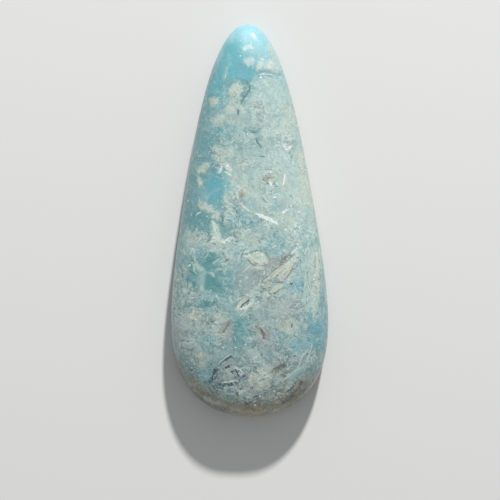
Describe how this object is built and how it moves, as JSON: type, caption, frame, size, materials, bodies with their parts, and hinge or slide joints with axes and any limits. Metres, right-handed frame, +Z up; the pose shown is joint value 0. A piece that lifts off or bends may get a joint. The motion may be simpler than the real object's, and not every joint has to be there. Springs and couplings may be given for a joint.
{
  "type": "larimar cabochon",
  "caption": "Long teardrop cabochon of blue-green larimar with a low polished crown, a rounded edge and a flat back to set or glue.",
  "frame": {"origin": "middle of the stone's outline, on the flat back", "axes": "+Y along the stone to its narrow tip, +X across it, +Z up out of the crown"},
  "size_m": [0.0184, 0.046, 0.0067],
  "materials": {
    "larimar": "polished, waxy, mottled aqua and grey-green with pale fibres"
  },
  "bodies": {
    "root": {"larimar_cabochon": "larimar"}
  },
  "joints": []
}
